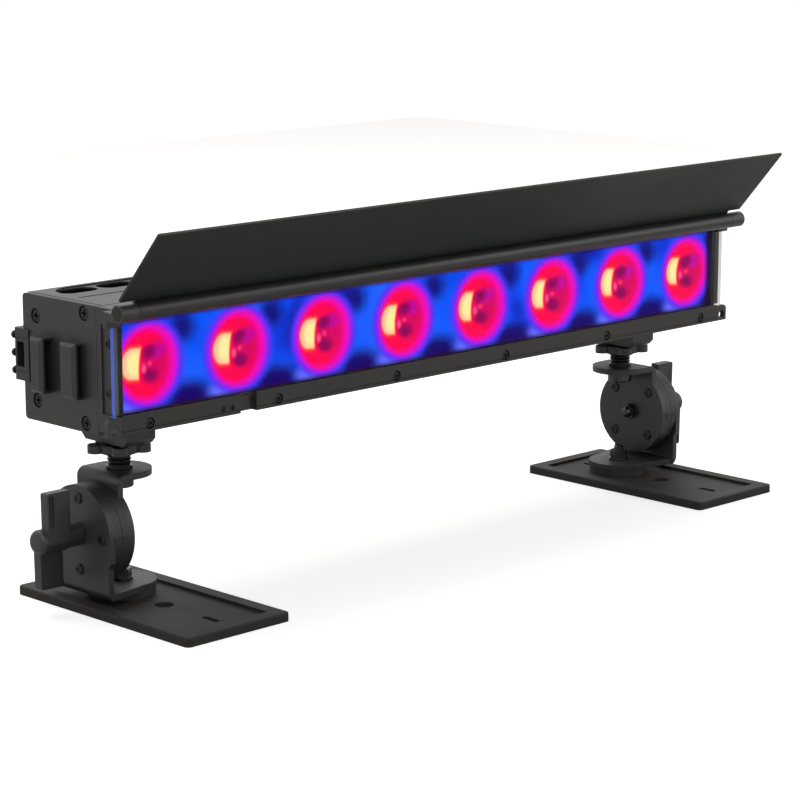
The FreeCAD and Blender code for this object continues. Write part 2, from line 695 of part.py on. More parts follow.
def make_front_bracket_screws():
    piece = Piece("front_bracket_screws", head_place)
    for outside, inward in ((d.bracket_recess - d.side_screw_head_height, 1),
                            (d.head_length - d.bracket_recess + d.side_screw_head_height, -1)):
        length = d.side_screw_head_height + d.bracket_thickness_x - d.bracket_recess
        screws(piece, "x", outside, outside + inward * length, side_screw_points(),
               d.side_screw_head_radius, d.side_screw_shank_radius, d.side_screw_head_height)


def make_glass():
    piece = Piece("front_glass", head_place)
    near, far = d.bar_end, d.head_length - d.bar_end
    left, right = -d.glass_overhang, d.head_length + d.glass_overhang
    low, high = seat_low + d.layer_gap, seat_high - d.layer_gap
    ear, lug = d.ear_low - d.layer_gap, d.lug_high + d.layer_gap
    piece.add("y", glass_front, glass_back, polygon(
        (near, low), (far, low), (far, lug), (right, lug), (right, ear), (far, ear),
        (far, high), (near, high), (near, ear), (left, ear), (left, lug), (near, lug)))


def make_gasket():
    piece = Piece("glass_gasket", head_place)
    near, far = d.bar_end + d.layer_gap, d.head_length - d.bar_end - d.layer_gap
    low, high = seat_low + d.layer_gap, seat_high - d.layer_gap
    wide = d.seal_width

    def frame(outline):
        outline.rectangle(near, low, far, high)
        outline.rectangle(near + wide, low + wide / 2, far - wide, high - wide / 2)
    piece.add("y", seal_front, tray_front, frame)


def make_tray():
    """Block with eight mirrored cups, cut by cones."""
    piece = Piece("reflector_tray", head_place)
    near, far = d.bar_end + d.layer_gap, d.head_length - d.bar_end - d.layer_gap
    piece.add("y", tray_front, tray_back,
              box(near, seat_low + d.layer_gap, far, seat_high - d.layer_gap))
    middle = (d.window_low + d.window_high) / 2
    for index in range(int(d.cell_count.value)):
        across = (index + 0.5) * cell_pitch
        loft = piece.body.newObject("PartDesign::SubtractiveLoft", "cup")
        loft.Profile = piece.sketch("y", tray_front, circles([(across, middle)], d.cup_radius))
        loft.Sections = [piece.sketch("y", tray_back, circles([(across, middle)], d.cup_throat))]


def make_light_sources():
    middle = (d.window_low + d.window_high) / 2
    board = Piece("led_board", head_place)
    near, far = d.bar_end + d.board_margin, d.head_length - d.bar_end - d.board_margin
    board.add("y", board_front, d.front_depth,
              box(near, seat_low + d.board_margin, far, seat_high - d.board_margin))
    board.cut("y", board_front, d.front_depth,
              circles(bar_screw_points(), d.bar_screw_shank_radius + d.turning_gap))
    emitters = Piece("led_emitters", head_place)
    points = [((index + 0.5) * cell_pitch, middle) for index in range(int(d.cell_count.value))]
    top = board_front - d.emitter_height
    emitters.add("y", top, board_front, circles(points, d.emitter_radius))
    emitters.fillet(d.emitter_height * 0.7, round_at(d.emitter_radius, y=top))


def make_hinge_pins():
    piece = Piece("hinge_pins", head_place)
    axis = [(-d.flap_axis_front, d.flap_axis_high)]
    for outside, inward in ((-d.knuckle_out, 1), (d.head_length + d.knuckle_out, -1)):
        under_head = outside + inward * d.flap_pin_head_height
        piece.add("x", outside, under_head, circles(axis, d.flap_pin_head_radius))
        piece.add("x", under_head, outside + inward * d.flap_pin_length,
                  circles(axis, d.flap_pin_radius))


# ---------------------------------------------------------------- flap, upright in its own frame

def make_flap():
    tube = Piece("flap_tube", flap_place)
    start = d.knuckle_in + d.turning_gap
    end = d.head_length - start
    back = d.flap_tube_radius
    front = back - d.flap_thickness

    def ring(outline):
        outline.circle(0, 0, d.flap_tube_radius)
        outline.circle(0, 0, d.flap_pin_radius + d.turning_gap)
    tube.add("x", start, end, ring)
    tube.cut("x", start, end, box(front, 0, back + d.wall, back + d.wall))
    leaf = Piece("flap_sheet", flap_place)
    left, right = -d.flap_overhang, d.head_length + d.flap_overhang
    leaf.add("y", front, back, polygon(
        (start, 0), (end, 0), (end, d.flap_notch), (right, d.flap_notch),
        (right, d.flap_height), (left, d.flap_height), (left, d.flap_notch),
        (start, d.flap_notch)))


# ---------------------------------------------------------------- head: inside and back

def make_supply():
    piece = Piece("power_supply", head_place)
    half = d.supply_depth / 2
    right = d.supply_first + d.supply_length
    top = slot_floor + d.supply_height
    piece.add("x", d.supply_first, right,
              box(slot_middle - half, slot_floor, slot_middle + half, top))
    for side in (-1, 1):
        piece.chamfer(d.wall, flat_at(y=slot_middle + side * half, z=top))


def make_driver_board():
    piece = Piece("driver_board", head_place)
    right = d.driver_first + d.driver_length
    half = d.driver_thickness / 2
    piece.add("x", d.driver_first, right,
              box(slot_middle - half, slot_floor, slot_middle + half,
                  slot_floor + d.driver_height))
    chip = d.driver_height / 4
    for index in range(4):
        left = d.driver_first + (index + 0.5) * d.driver_length / 4
        piece.add("x", left, left + chip,
                  box(slot_middle, slot_floor + chip, slot_middle + chip, slot_floor + chip * 2))


def make_display_panel():
    piece = Piece("display_panel", head_place)
    middle = d.head_length / 2
    back = depth + d.panel_thickness
    half = d.panel_length / 2
    piece.add("y", depth, back, box(middle - half, d.panel_low, middle + half,
                                    d.panel_low + d.panel_height))
    for side in (-1, 1):
        for height in (d.panel_low, d.panel_low + d.panel_height):
            piece.fillet(d.end_plate_corner, flat_at(x=middle + side * half, z=height))
    window = middle + d.display_shift
    centre = d.panel_low + d.panel_height / 2
    piece.cut("z", centre - d.display_height / 2, centre + d.display_height / 2,
              box(window - d.display_length / 2, back - d.display_depth,
                  window + d.display_length / 2, back))
    piece.cut("y", depth, back, circles(button_points(), d.button_radius + d.turning_gap))


def make_buttons():
    """Push buttons, each kept by a flange behind the back wall."""
    under_wall = depth - d.wall - d.turning_gap
    top = depth + d.panel_thickness + d.button_proud
    for number, point in enumerate(button_points(), start=1):
        piece = Piece("menu_button_%d" % number, head_place)
        piece.add("y", under_wall, top, circles([point], d.button_radius))
        piece.add("y", under_wall - d.button_flange_height, under_wall,
                  circles([point], d.button_flange))
        piece.fillet(d.soft_edge, round_at(d.button_radius, y=top))


def make_inlet(label, point, radius, contacts):
    """A flanged round socket with its contacts in the open bore."""
    piece = Piece(label, head_place)
    half = d.inlet_flange / 2
    across, up = point
    flange_back = depth + d.inlet_flange_height
    mouth = depth + d.inlet_reach
    bottom = mouth - d.inlet_bore_depth
    piece.add("y", depth, flange_back, box(across - half, up - half, across + half, up + half))
    for side in (-1, 1):
        for height in (-1, 1):
            piece.fillet(d.end_plate_corner,
                         flat_at(x=across + side * half, z=up + height * half))
    piece.add("y", depth, mouth, circles([point], radius))
    piece.cut("y", bottom, mouth, circles([point], radius - d.inlet_wall))
    ring = []
    for index in range(contacts):
        angle = 2 * math.pi * index / contacts
        ring.append((across + d.contact_ring * round(math.cos(angle), 6),
                     up + d.contact_ring * round(math.sin(angle), 6)))
    piece.add("y", bottom - d.soft_edge, bottom + d.contact_height,
              circles(ring, d.contact_radius))


def make_inlets():
    names = ("power_inlet", "power_outlet", "data_inlet", "data_outlet")
    radii = (d.power_radius, d.power_radius, d.data_radius, d.data_radius)
    for name, point, radius, contacts in zip(names, inlet_points(), radii, (3, 3, 5, 5)):
        make_inlet(name, point, radius, contacts)


# ---------------------------------------------------------------- feet

def hexagon(across, up, width):
    """Corners of a hexagon by its width across flats, with a corner along the second axis."""
    corner = width / 2 / round(math.cos(math.pi / 6), 9)
    return [(across + corner * round(math.cos(math.radians(30 + 60 * index)), 9),
             up + corner * round(math.sin(math.radians(30 + 60 * index)), 9))
            for index in range(6)]


def make_base_plate(name, place):
    piece = Piece("base_plate" + name, place)
    wide, long = d.base_width / 2, d.base_length / 2
    top = d.base_thickness
    piece.add("z", 0, top, box(-wide, -long, wide, long))
    for side in (-1, 1):
        for end in (-1, 1):
            piece.fillet(d.base_corner, flat_at(x=side * wide, y=end * long))
    piece.fillet(d.base_edge, flat_at(z=top))
    piece.cut("z", recess_floor, top,
              box(d.base_rim - wide, d.base_rim - long, wide - d.base_rim, long - d.base_rim))
    stud = [(0, d.stud_setback)]
    piece.cut("z", 0, top, circles([(0, -d.base_hole_front)], d.base_hole_radius))
    piece.cut("z", 0, top, circles(stud, d.swivel_bolt_radius + d.turning_gap))
    piece.cut("z", 0, d.swivel_head_gap * 2 + d.swivel_head_height,
              circles(stud, d.swivel_head_radius + d.turning_gap))

    def slots(outline):
        for end in (-1, 1):
            outline.stadium(0, end * d.base_slot_front, d.base_slot_length / 2,
                            d.base_slot_radius, upright=True)
    piece.cut("z", 0, top, slots)


def make_spacer(name, place):
    piece = Piece("spacer_disc" + name, place)

    def ring(outline):
        outline.circle(0, d.stud_setback, d.spacer_radius)
        outline.circle(0, d.stud_setback, d.swivel_bolt_radius + d.thread_gap)
    piece.add("z", recess_floor, spacer_top, ring)
    piece.chamfer(d.soft_edge, round_at(d.spacer_radius, z=spacer_top))


def make_swivel_bolt(name, place):
    """Bolt up through the plate, with its flanged nut as a second solid."""
    piece = Piece("swivel_bolt" + name, place)
    stud = [(0, d.stud_setback)]
    head_top = d.swivel_head_gap + d.swivel_head_height
    washer_top = lower_leg_top + d.swivel_washer_height
    nut_top = washer_top + d.swivel_nut_height
    end = nut_top + d.swivel_bolt_proud
    piece.add("z", d.swivel_head_gap, head_top, circles(stud, d.swivel_head_radius))
    piece.add("z", head_top, end, circles(stud, d.swivel_bolt_radius))
    piece.chamfer(d.soft_edge, round_at(d.swivel_bolt_radius, z=end))

    def washer(outline):
        outline.circle(0, d.stud_setback, d.swivel_washer_radius)
        outline.circle(0, d.stud_setback, d.swivel_bolt_radius + d.thread_gap)

    def nut(outline):
        outline.polygon(*hexagon(0, d.stud_setback, d.swivel_nut_width))
        outline.circle(0, d.stud_setback, d.swivel_bolt_radius + d.thread_gap)
    piece.add("z", lower_leg_top, washer_top, washer)
    piece.add("z", washer_top, nut_top, nut)


def make_lower_bracket(name, place, out):
    """Strap with a round foot over the spacer and a round-topped leg outside the discs."""
    piece = Piece("lower_bracket" + name, place)
    stud = [(0, d.stud_setback)]
    tilt = [(d.stud_setback, tilt_height)]
    leg = (out(lower_disc_out), out(lower_leg_out))
    round_end, wide, upper = d.lower_leg_radius, d.lower_foot_width / 2, d.disc_radius
    middle = d.stud_setback
    piece.add("z", spacer_top, lower_leg_top, circles(stud, round_end))
    piece.add("z", spacer_top, lower_leg_top, polygon(
        (0, middle - round_end), (out(lower_leg_out), middle - wide),
        (out(lower_leg_out), middle + wide), (0, middle + round_end)))
    piece.add("x", *leg, circles(tilt, upper))
    step = spacer_top + d.lower_step_high
    piece.add("x", *leg, polygon(
        (middle - wide, spacer_top), (middle + wide, spacer_top), (middle + wide, step - d.wall),
        (middle + upper, step), (middle + upper, tilt_height), (middle - upper, tilt_height),
        (middle - upper, step), (middle - wide, step - d.wall)))
    piece.fillet(d.bend_radius, flat_at(x=out(lower_leg_out), z=spacer_top))
    piece.fillet(d.bend_inner, flat_at(x=out(lower_disc_out), z=lower_leg_top))
    piece.cut("z", spacer_top, lower_leg_top, circles(stud, d.swivel_bolt_radius + d.thread_gap))
    piece.cut("x", *leg, circles(tilt, d.tilt_bolt_radius + d.turning_gap))
    piece.cut("x", *leg, circles(disc_screw_points(0), d.disc_screw_shank_radius + d.thread_gap))


def make_upper_bracket(name, place, out):
    """Strap with a round top around the stud and a hanging round leg inside the discs."""
    piece = Piece("upper_bracket" + name, place)
    stud = [(0, d.stud_setback)]
    tilt = [(d.stud_setback, tilt_height)]
    leg = (out(d.neck_offset), out(upper_leg_out))
    wide, middle = d.upper_leg_radius, d.stud_setback
    piece.add("z", upper_leg_under, upper_leg_top, circles(stud, wide))
    piece.cut("z", upper_leg_under, upper_leg_top,
              box(out(upper_leg_out), middle - wide, out(wide), middle + wide))
    piece.add("z", upper_leg_under, upper_leg_top,
              box(0, middle - wide, out(upper_leg_out), middle + wide))
    piece.add("x", *leg, circles(tilt, d.disc_radius))
    piece.add("x", *leg, box(middle - wide, tilt_height, middle + wide, upper_leg_top))
    piece.fillet(d.bend_radius, flat_at(x=out(upper_leg_out), z=upper_leg_top))
    piece.fillet(d.bend_inner, flat_at(x=out(d.neck_offset), z=upper_leg_under))
    piece.cut("z", upper_leg_under, upper_leg_top, circles(stud, d.stud_radius + d.thread_gap))
    piece.cut("x", *leg, circles(tilt, d.tilt_bolt_radius + d.thread_gap))
    piece.cut("x", *leg, circles(disc_screw_points(45), d.disc_screw_shank_radius + d.thread_gap))


def disc_screw_points(first_angle):
    """Four screw middles around the tilt axis, as depth and height."""
    points = []
    for index in range(4):
        angle = math.radians(first_angle + 90 * index)
        points.append((d.stud_setback + d.disc_screw_ring * round(math.cos(angle), 9),
                       tilt_height + d.disc_screw_ring * round(math.sin(angle), 9)))
    return points


def make_disc(label, place, low, high, bore, first_angle):
    """Friction disc with two index ridges on the front of its rim."""
    piece = Piece(label, place)
    front = d.stud_setback - d.disc_radius

    def ring(outline):
        outline.circle(d.stud_setback, tilt_height, d.disc_radius)
        outline.circle(d.stud_setback, tilt_height, bore)
    piece.add("x", low, high, ring)
    for side in (-1, 1):
        height = tilt_height + side * d.index_pitch / 2
        piece.add("x", low, high, box(front - d.index_proud, height - d.index_width / 2,
                                      front + d.wall, height + d.index_width / 2))
    piece.cut("x", low, high,
              circles(disc_screw_points(first_angle), d.disc_screw_shank_radius + d.thread_gap))


def make_discs(name, place, out):
    make_disc("upper_disc" + name, place, out(upper_leg_out), out(upper_disc_out),
              d.tilt_bolt_radius + d.thread_gap, 45)
    make_disc("lower_disc" + name, place, out(lower_disc_in), out(lower_disc_out),
              d.tilt_bolt_radius + d.turning_gap, 0)
    rows = (("upper", d.neck_offset, 1, 45), ("lower", lower_leg_out, -1, 0))
    for row, face, inward, first_angle in rows:
        head = d.disc_screw_head_height
        outside = face - inward * head
        piece = Piece(row + "_disc_screws" + name, place)
        screws(piece, "x", out(outside), out(outside + inward * (head + d.disc_screw_length)),
               disc_screw_points(first_angle), d.disc_screw_head_radius,
               d.disc_screw_shank_radius, head)


def make_tilt_bolt(name, place, out):
    """Shaft through the discs, with a washer, a nut and a dome on the inner side."""
    piece = Piece("tilt_bolt" + name, place)
    tilt = [(d.stud_setback, tilt_height)]
    washer = d.neck_offset - d.tilt_washer_height
    nut = washer - d.tilt_nut_height
    dome = nut - d.tilt_dome_height
    piece.add("x", out(d.neck_offset), out(boss_in + d.tilt_bolt_hold),
              circles(tilt, d.tilt_bolt_radius))
    piece.add("x", out(washer), out(d.neck_offset), circles(tilt, d.tilt_washer_radius))
    piece.add("x", out(nut), out(washer),
              polygon(*hexagon(d.stud_setback, tilt_height, d.tilt_nut_width)))
    piece.add("x", out(dome), out(nut), circles(tilt, d.tilt_dome_radius))
    piece.fillet(d.tilt_dome_height * 0.9, round_at(d.tilt_dome_radius, x=out(dome)))


def make_tilt_knob(name, side, turn):
    """Handle with two staggered arms and a round hub, turned about its own axis."""
    def out(size):
        return side * size

    place = Place(side * (foot_across + boss_in), d.stud_setback, tilt_height, turn)
    piece = Piece("tilt_knob" + name, place)
    arm_in = d.knob_boss_length
    arm_out = arm_in + d.knob_depth
    half, shift, ridge = d.knob_arm_thickness / 2, d.knob_arm_shift, d.knob_ridge
    piece.add("x", 0, out(arm_in + ridge), circles([(0, 0)], d.knob_boss_radius))
    for up in (-1, 1):
        middle = side * up * shift
        piece.add("x", out(arm_in), out(arm_out),
                  box(middle - half, 0, middle + half, up * d.knob_arm_reach))
    piece.fillet(ridge, flat_at(x=out(arm_out), z=d.knob_arm_reach))
    piece.fillet(ridge, flat_at(x=out(arm_out), z=-d.knob_arm_reach))
    piece.add("x", out(arm_in), out(arm_out + d.knob_hub_proud),
              circles([(0, 0)], d.knob_hub_radius))
    piece.fillet(d.knob_hub_proud * 0.8, round_at(d.knob_hub_radius, x=out(arm_out + d.knob_hub_proud)))
    piece.cut("x", 0, out(d.tilt_bolt_hold + d.soft_edge),
              circles([(0, 0)], d.tilt_bolt_radius + d.turning_gap))


def make_stud(name, place):
    """Threaded stud with a collar above the bracket and its nut, a second solid, below."""
    piece = Piece("stud" + name, place)
    stud = [(0, d.stud_setback)]
    top = block_under + d.stud_hold
    nut_low = upper_leg_under - d.stud_nut_height
    piece.add("z", nut_low, top, circles(stud, d.stud_radius))
    piece.add("z", upper_leg_top, upper_leg_top + d.stud_collar_height,
              circles(stud, d.stud_collar_radius))
    piece.chamfer(d.soft_edge, round_at(d.stud_radius, z=top))

    def nut(outline):
        outline.circle(0, d.stud_setback, d.stud_nut_radius)
        outline.circle(0, d.stud_setback, d.stud_radius + d.thread_gap)
    piece.add("z", nut_low + d.soft_edge, upper_leg_under, nut)


def make_lock_nut(name, place):
    piece = Piece("lock_nut" + name, place)
    middle = d.stud_setback
    low, top = nut_under, nut_under + d.lock_nut_height
    lobe_low = top - d.lock_nut_lobe_height
    lobes = []
    for index in range(int(d.lock_nut_lobes.value)):
        angle = 2 * math.pi * index / d.lock_nut_lobes.value
        lobes.append((d.lock_nut_lobe_ring * round(math.sin(angle), 9),
                      middle + d.lock_nut_lobe_ring * round(math.cos(angle), 9)))
    piece.add("z", low, top, circles([(0, middle)], d.lock_nut_core_radius))
    piece.add("z", lobe_low, top, circles([(0, middle)], d.lock_nut_web_radius))
    piece.add("z", lobe_low, top, circles(lobes, d.lock_nut_lobe_radius))
    piece.cut("z", low, top, circles([(0, middle)], d.stud_radius + d.turning_gap))
    piece.fillet(d.soft_edge, flat_at(z=top))


def make_clamp_block(name, place):
    """Block under the head, with a neck and a shoe inside the T-slot."""
    piece = Piece("clamp_block" + name, place)
    wide, long, middle = d.block_width / 2, d.block_length / 2, d.stud_setback
    neck = d.slot_opening / 2 - d.shoe_gap
    shoe = d.slot_width / 2 - d.shoe_gap
    lip = head_under + d.slot_lip + d.shoe_gap
    top = head_under + d.slot_depth - d.shoe_gap
    piece.add("z", block_under, head_under, box(-wide, middle - long, wide, middle + long))
    for end in (-1, 1):
        piece.chamfer(d.block_bevel, flat_at(y=middle + end * long, z=block_under))
    piece.add("z", head_under, lip, box(-wide, middle - neck, wide, middle + neck))
    half = d.shoe_length / 2
    piece.add("z", lip, top, box(-half, middle - shoe, half, middle + shoe))
    piece.cut("z", block_under, block_under + d.stud_hold + d.soft_edge,
              circles([(0, middle)], d.stud_radius + d.turning_gap))


def make_foot(name, side, turn):
    """All pieces of one foot; `side` is the way out along X."""
    def out(size):
        return side * size

    place = Place(side * foot_across, 0, 0)
    make_base_plate(name, place)
    make_spacer(name, place)
    make_swivel_bolt(name, place)
    make_lower_bracket(name, place, out)
    make_upper_bracket(name, place, out)
    make_discs(name, place, out)
    make_tilt_bolt(name, place, out)
    make_tilt_knob(name, side, turn)
    make_stud(name, place)
    make_lock_nut(name, place)
    make_clamp_block(name, place)


# ---------------------------------------------------------------- build, check and write

def make_all():
    make_housing()
    make_end_plates()
    make_end_plate_screws()
    make_link_bracket()
    make_link_bracket_screws()
    make_bars()
    make_bottom_bar_screws()
    make_front_bracket("front_bracket_left", -1, as_size(0))
    make_front_bracket("front_bracket_right", 1, d.head_length)
    make_front_bracket_screws()
    make_glass()
    make_gasket()
    make_tray()
    make_light_sources()
    make_hinge_pins()
    make_flap()
    make_supply()
    make_driver_board()
    make_display_panel()
    make_buttons()
    make_inlets()
    make_foot("_left", -1, d.left_knob_turn)
    make_foot("_right", 1, d.right_knob_turn)
    document.recompute()


def check_all():
    for item in document.Objects:
        if "Invalid" in item.State or "Error" in item.State:
            raise RuntimeError("%s: %s" % (item.Name, item.State))
    for label, piece in nodes.items():
        shape = piece.Shape
        if shape.isNull() or not shape.isValid() or not shape.Solids:
            raise RuntimeError("%s has no valid solid" % label)


def write_all():
    os.makedirs("parts", exist_ok=True)
    for label, piece in nodes.items():
        piece.Shape.exportStep("parts/%s.step" % label)
        print(label, len(piece.Shape.Solids), round(piece.Shape.Volume, 1))


make_all()
check_all()
write_all()
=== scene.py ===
import json
import math

import bmesh
import bpy
from mathutils import Matrix, Vector


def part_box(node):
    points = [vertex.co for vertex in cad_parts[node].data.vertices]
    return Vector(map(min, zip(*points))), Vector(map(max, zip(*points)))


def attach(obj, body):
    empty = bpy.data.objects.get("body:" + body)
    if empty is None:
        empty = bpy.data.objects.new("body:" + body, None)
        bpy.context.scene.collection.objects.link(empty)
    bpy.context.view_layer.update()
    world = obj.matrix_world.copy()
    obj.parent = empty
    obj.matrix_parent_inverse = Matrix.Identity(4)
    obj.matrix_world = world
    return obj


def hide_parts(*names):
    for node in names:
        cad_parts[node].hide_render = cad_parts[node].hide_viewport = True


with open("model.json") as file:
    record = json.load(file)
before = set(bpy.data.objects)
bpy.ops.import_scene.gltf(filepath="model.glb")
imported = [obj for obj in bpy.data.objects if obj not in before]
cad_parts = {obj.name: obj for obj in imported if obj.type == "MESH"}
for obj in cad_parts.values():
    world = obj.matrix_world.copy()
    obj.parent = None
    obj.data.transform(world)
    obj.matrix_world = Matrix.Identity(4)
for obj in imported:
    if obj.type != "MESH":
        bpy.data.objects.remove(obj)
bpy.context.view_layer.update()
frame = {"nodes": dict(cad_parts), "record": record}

# An eight-cell LED wall washer on two tilting feet, under soft studio light.
# Sizes are in metres. +X runs along the washer, -Y is its lit front and +Z is up.

MM = 0.001
SIDES = ("left", "right")
nodes = frame["nodes"]


def linear(hex_colour):
    """An sRGB hex colour as the linear RGBA that the shaders take."""
    channels = [int(hex_colour[place:place + 2], 16) / 255 for place in (1, 3, 5)]
    return [c / 12.92 if c <= 0.04045 else ((c + 0.055) / 1.055) ** 2.4 for c in channels] + [1]


def put(tree, kind, inputs=None, stops=None, **settings):
    """Adds one node with its settings; inputs take values, sockets, nodes or lists of nodes."""
    node = tree.nodes.new(kind)
    for name, value in settings.items():
        setattr(node, name, value)
    for name, value in (inputs or {}).items():
        several = isinstance(value, list) and isinstance(value[0], bpy.types.Node)
        for source in value if several else [value]:
            if isinstance(source, bpy.types.Node):
                source = source.outputs[0]
            if isinstance(source, bpy.types.NodeSocket):
                tree.links.new(source, node.inputs[name])
            else:
                node.inputs[name].default_value = source
    if stops:
        scale = node.color_ramp.elements
        while len(scale) < len(stops):
            scale.new(0.5)
        for element, (position, colour) in zip(scale, stops):
            element.position = position
            element.color = linear(colour)
    return node


def box_middle(name):
    """The middle of a node's box."""
    low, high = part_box(name)
    return (Vector(low) + Vector(high)) / 2


# ---------------------------------------------------------------- finishes

def new_finish(name, **sockets):
    """A material with one principled shader; returns it, its tree and the shader."""
    material = bpy.data.materials.new(name)
    material.use_nodes = True
    tree = material.node_tree
    tree.nodes.clear()
    shader = put(tree, "ShaderNodeBsdfPrincipled", {
        socket.replace("_", " "): value for socket, value in sockets.items()})
    put(tree, "ShaderNodeOutputMaterial", {"Surface": shader})
    return material, tree, shader


def grained(name, dark, light, grain, depth, edge, stretch=(1, 1, 1), **sockets):
    """A finish with a fine grain, slow change of tone, dull patches and softened edges."""
    material, tree, shader = new_finish(name, **sockets)
    own = put(tree, "ShaderNodeTexCoord")
    place = put(tree, "ShaderNodeMapping", {"Vector": own.outputs["Object"], "Scale": stretch})
    fine = put(tree, "ShaderNodeTexNoise", {
        "Vector": place, "Scale": 1 / grain, "Detail": 3.0, "Roughness": 0.6})
    broad = put(tree, "ShaderNodeTexNoise", {
        "Vector": place, "Scale": 1 / (60 * MM), "Detail": 2.0})
    blend = put(tree, "ShaderNodeMath", {0: fine, 1: broad}, operation="ADD")
    tone = put(tree, "ShaderNodeValToRGB", {"Fac": blend}, stops=((0.75, dark), (1.0, light)))
    tree.links.new(tone.outputs[0], shader.inputs["Base Color"])
    level = shader.inputs["Roughness"].default_value
    dull = put(tree, "ShaderNodeMapRange", {
        "Value": broad, "From Min": 0.3, "From Max": 0.7,
        "To Min": level * 0.9, "To Max": level * 1.12})
    tree.links.new(dull.outputs[0], shader.inputs["Roughness"])
    rounded = put(tree, "ShaderNodeBevel", {"Radius": edge}, samples=4)
    bump = put(tree, "ShaderNodeBump", {
        "Height": fine, "Distance": depth, "Strength": 0.6, "Normal": rounded})
    tree.links.new(bump.outputs[0], shader.inputs["Normal"])
    return material


def powder_coated_steel():
    """Polyester powder coat on brackets and end plates: satin black, fine orange peel."""
    return grained("powder_coated_steel", "#232323", "#2A2A2A", 0.5 * MM, 0.03 * MM, 0.4 * MM,
                   Roughness=0.44)


def anodised_extrusion():
    """Black anodised aluminium extrusion: faint die lines along its length, warm sheen."""
    return grained("anodised_extrusion", "#262524", "#2F2E2C", 0.4 * MM, 0.015 * MM, 0.35 * MM,
                   stretch=(0.02, 1, 1), Roughness=0.4, Metallic=0.25)


def coated_flap_sheet():
    """Thin spray-coated sheet: smooth satin black, tinted green as a painted reflection."""
    return grained("coated_flap_sheet", "#131A13", "#1A221A", 0.6 * MM, 0.01 * MM, 0.25 * MM,
                   Roughness=0.52, Specular_IOR_Level=0.35)


def coated_floor_plate():
    """Textured powder coat on the foot plates: matt, a little warm and dusty."""
    return grained("coated_floor_plate", "#24221F", "#2D2B28", 0.6 * MM, 0.05 * MM, 0.5 * MM,
                   Roughness=0.58, Specular_IOR_Level=0.25)


def blackened_steel():
    """Black-oxide steel of studs and bolts: dark, oily and sharply shining."""
    return grained("blackened_steel", "#343434", "#454443", 0.3 * MM, 0.01 * MM, 0.15 * MM,
                   Roughness=0.26, Metallic=0.9)


def blackened_screw():
    """Black-oxide machine screws: half gloss."""
    return grained("blackened_screw", "#1A1A1A", "#252525", 0.2 * MM, 0.005 * MM, 0.2 * MM,
                   Roughness=0.34, Metallic=0.5)


def folded_supply_case():
    """Bare aluminium can of the power supply: brushed along its length."""
    return grained("folded_supply_case", "#A9ABAD", "#BCBEC0", 0.3 * MM, 0.01 * MM, 0.3 * MM,
                   stretch=(0.05, 1, 1), Roughness=0.35, Metallic=1.0)


def moulded_disc_plastic():
    """Glass-filled nylon of the tilt discs: spark-eroded grain, satin."""
    return grained("moulded_disc_plastic", "#1F1F20", "#28282A", 0.4 * MM, 0.04 * MM, 0.3 * MM,
                   Roughness=0.5)


def moulded_knob_plastic():
    """Nylon of knobs and lobed nuts: softly shining where hands polish it."""
    return grained("moulded_knob_plastic", "#222222", "#2C2C2C", 0.4 * MM, 0.03 * MM, 0.7 * MM,
                   Roughness=0.4)


def moulded_socket_plastic():
    """Black ABS of sockets, buttons and the link bracket: even, fine grain."""
    return grained("moulded_socket_plastic", "#1A1A1A", "#222222", 0.4 * MM, 0.03 * MM, 0.3 * MM,
                   Roughness=0.46)


def foam_seal():
    """Closed-cell foam rubber: dull and slightly pitted."""
    return grained("foam_seal", "#101010", "#181818", 0.3 * MM, 0.08 * MM, 0.1 * MM,
                   Roughness=0.85)


def circuit_board():
    """Green solder mask over glass laminate: glossy, with tracks showing through."""
    return grained("circuit_board", "#12441F", "#1D5C2C", 1.2 * MM, 0.03 * MM, 0.1 * MM,
                   Roughness=0.3)


def printed_panel_film():
    """Polyester film over the menu panel: smooth black gloss."""
    return grained("printed_panel_film", "#101112", "#161718", 0.8 * MM, 0.004 * MM, 0.15 * MM,
                   Roughness=0.22, IOR=1.57)


def ceramic_glass_print():
    """Enamel border fired on the back of the glass: grey-green, seen through it."""
    return grained("ceramic_glass_print", "#39423C", "#465048", 0.5 * MM, 0.004 * MM, 0.05 * MM,
                   Roughness=0.5)


def glass_end_shade_strip():
    """Dark strip behind the right end of the glass: painted shade where no lamp image reaches.
    """
    return grained("glass_end_shade_strip", "#0B070C", "#120C14", 0.5 * MM, 0.004 * MM, 0.05 * MM,
                   Roughness=0.4)


# ---------------------------------------------------------------- light and glass

CELL_COUNT = 8
CELL_PITCH = 62.5 * MM
HALF_LENGTH = CELL_COUNT * CELL_PITCH / 2
CELL_HIGH = box_middle("led_emitters").z
# The lenses spread the lamp images a little wider than the lamps behind them.
FIRST_IMAGE = 22.75 * MM
IMAGE_PITCH = 63.85 * MM


def cell_point(tree):
    """The place across and up from the middle of the nearest lamp image."""
    own = put(tree, "ShaderNodeTexCoord")
    split = put(tree, "ShaderNodeSeparateXYZ", {0: own.outputs["Object"]})
    first_edge = HALF_LENGTH - FIRST_IMAGE + IMAGE_PITCH / 2
    along = put(tree, "ShaderNodeMath", {0: split.outputs["X"], 1: first_edge}, operation="ADD")
    wrapped = put(tree, "ShaderNodeMath", {0: along, 1: IMAGE_PITCH}, operation="FLOORED_MODULO")
    across = put(tree, "ShaderNodeMath", {0: wrapped, 1: IMAGE_PITCH / 2}, operation="SUBTRACT")
    up = put(tree, "ShaderNodeMath", {0: split.outputs["Z"], 1: CELL_HIGH}, operation="SUBTRACT")
    return put(tree, "ShaderNodeCombineXYZ", {"X": across, "Y": up})


